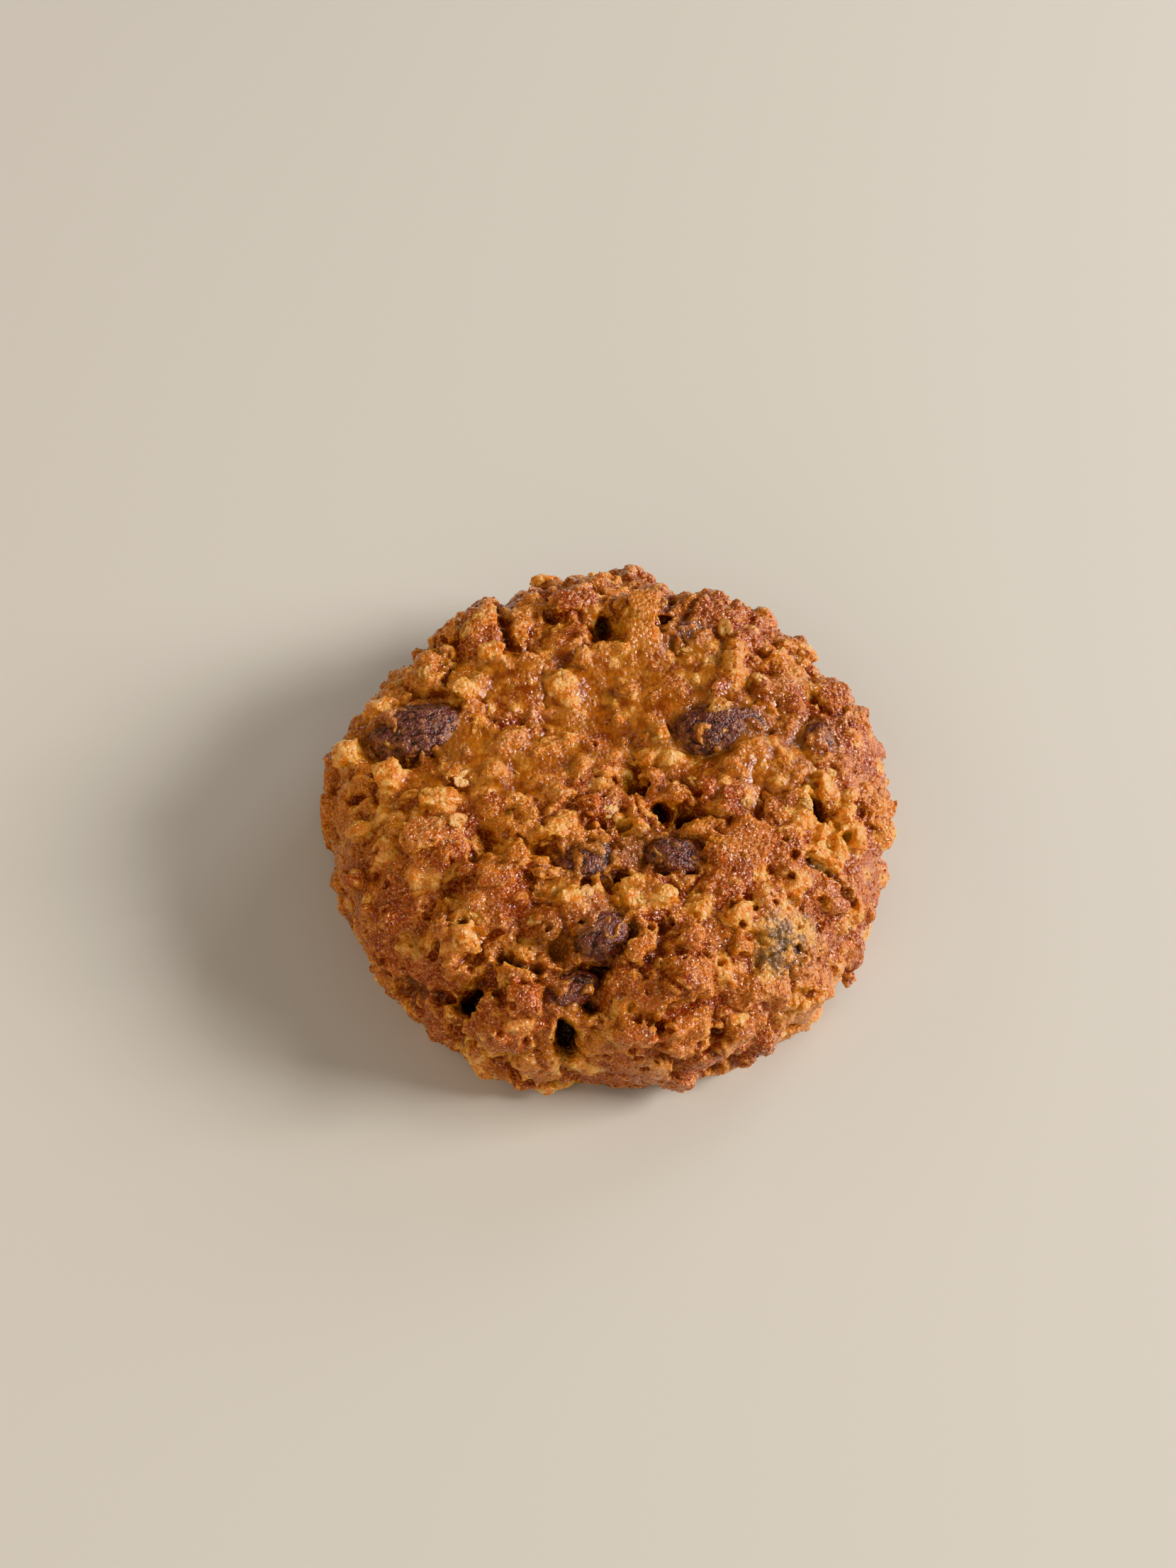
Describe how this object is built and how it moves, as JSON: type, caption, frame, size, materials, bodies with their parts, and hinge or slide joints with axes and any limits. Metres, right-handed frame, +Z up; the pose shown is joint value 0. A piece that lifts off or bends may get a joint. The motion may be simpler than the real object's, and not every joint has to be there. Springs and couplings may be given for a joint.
{
  "type": "oatmeal raisin cookie",
  "caption": "Thick hand-pressed oat cookie with a craggy crust, a sunken glossy middle, a flat base and plump raisins set in the top.",
  "frame": {"origin": "middle of the flat base", "axes": "+Z up out of the crust, -Y towards the front edge with the open crack, +X to the right seen from there"},
  "size_m": [0.0792, 0.0806, 0.0239],
  "materials": {
    "dough": "craggy baked oat crust, golden to red-brown, glossy where sugar has pooled",
    "raisin": "wrinkled dark purple-brown skin with a soft shine",
    "oats": "pale golden rolled oat flakes, toasted at their rims"
  },
  "bodies": {
    "root": {"cookie": "dough", "raisin_left": "raisin", "raisin_right": "raisin", "raisin_middle_left": "raisin", "raisin_middle_right": "raisin", "raisin_front": "raisin", "raisin_in_crack": "raisin", "raisin_veiled": "raisin", "raisin_edge": "raisin", "raisin_back": "raisin"}
  },
  "joints": []
}
